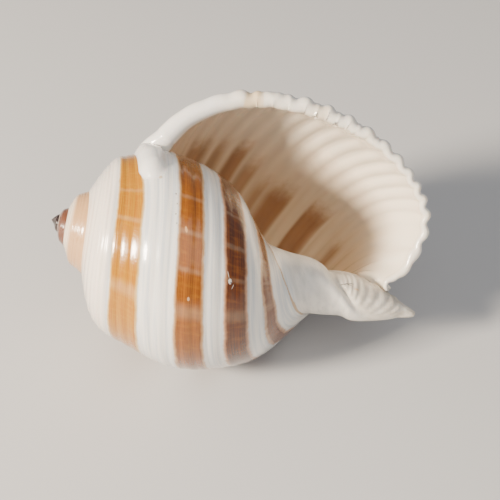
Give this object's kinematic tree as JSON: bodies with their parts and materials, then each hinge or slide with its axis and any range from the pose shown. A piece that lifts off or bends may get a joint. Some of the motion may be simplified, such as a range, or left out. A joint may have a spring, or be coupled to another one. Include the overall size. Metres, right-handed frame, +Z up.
{
  "type": "tun shell",
  "caption": "Banded sea snail shell with a low spire, a round ribbed body whorl, a wide scalloped mouth and a short spout, lying on its back.",
  "frame": {"origin": "middle of the shell's box, at the height of the flat it rests on", "axes": "+X towards the siphonal canal, the apex at -X, +Z up, and the mouth opens up and towards -Y"},
  "size_m": [0.0952, 0.0658, 0.0678],
  "materials": {
    "shell": "gloss"
  },
  "bodies": {
    "root": {"shell": "shell"}
  },
  "joints": []
}
